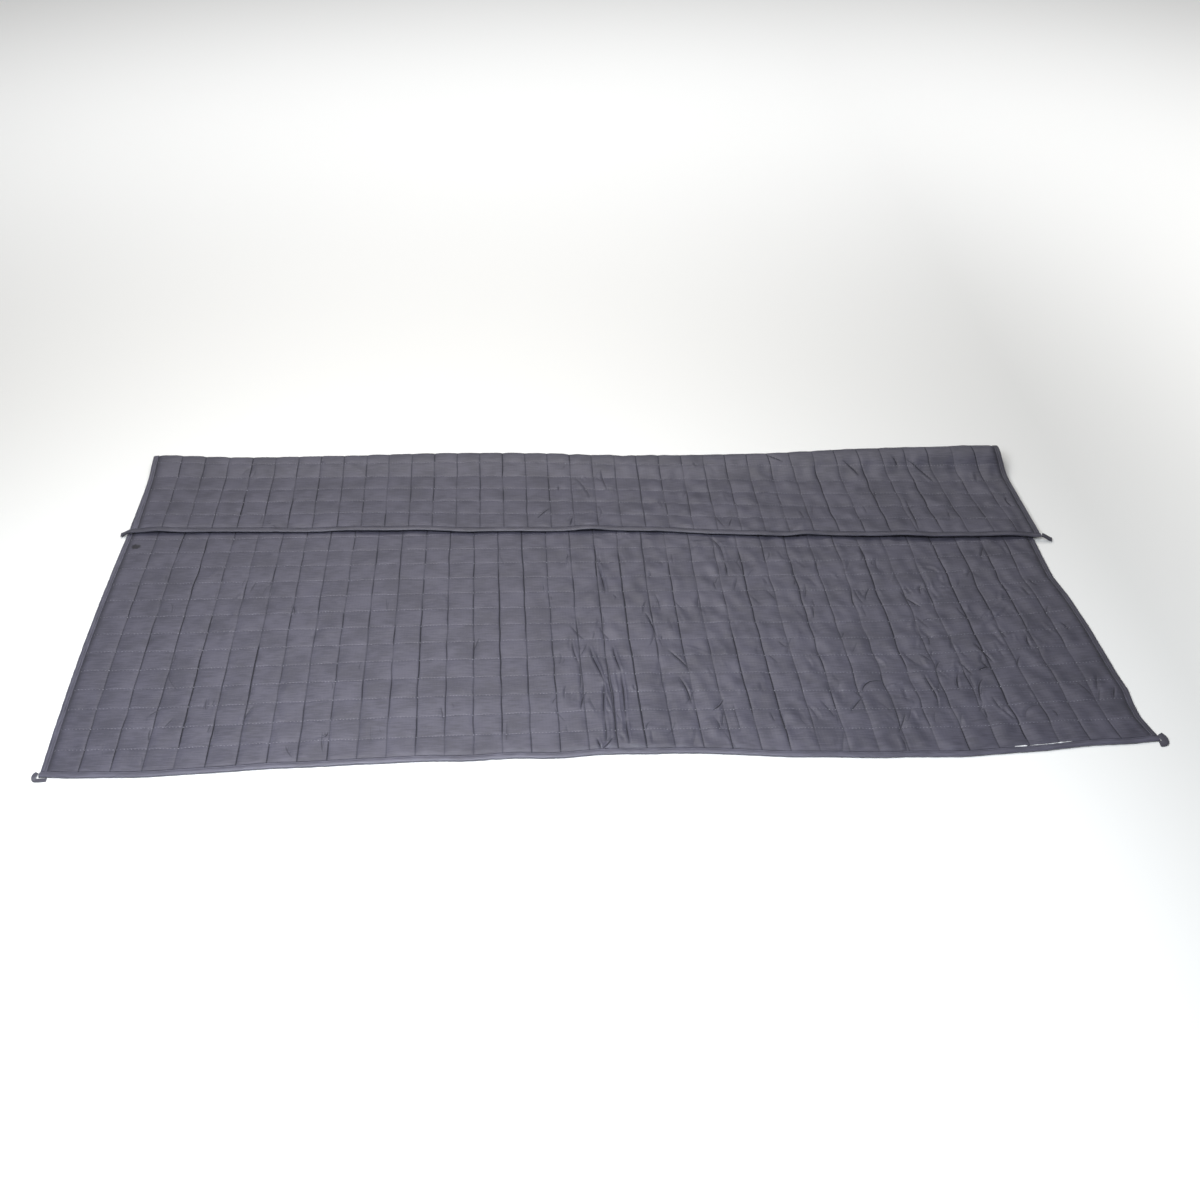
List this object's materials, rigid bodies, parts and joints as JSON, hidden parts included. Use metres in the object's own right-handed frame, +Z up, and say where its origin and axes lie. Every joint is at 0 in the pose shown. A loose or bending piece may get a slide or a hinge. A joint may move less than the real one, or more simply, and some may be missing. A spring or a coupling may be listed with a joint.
{
  "type": "weighted blanket",
  "caption": "Thin quilted weighted blanket with a grid of square pockets, bound edges and corner loops, laid flat with its far part folded over to the front.",
  "frame": {"origin": "on the floor, under the middle of the whole outline", "axes": "+X along the long hem to the right, +Y from the front hem towards the fold, +Z up from the floor"},
  "size_m": [2.0466, 1.0688, 0.043],
  "materials": {
    "quilt_cloth": "fine plain weave, soft low sheen, anthracite grey",
    "binding_cloth": "turned and stitched strip of the same cloth",
    "loop_tape": "narrow woven tape"
  },
  "bodies": {
    "root": {"quilt_panel": "quilt_cloth", "binding_front": "binding_cloth", "binding_far": "binding_cloth", "binding_left": "binding_cloth", "binding_right": "binding_cloth", "loop_front_left": "loop_tape", "loop_front_right": "loop_tape", "loop_far_left": "loop_tape", "loop_far_right": "loop_tape"}
  },
  "joints": []
}
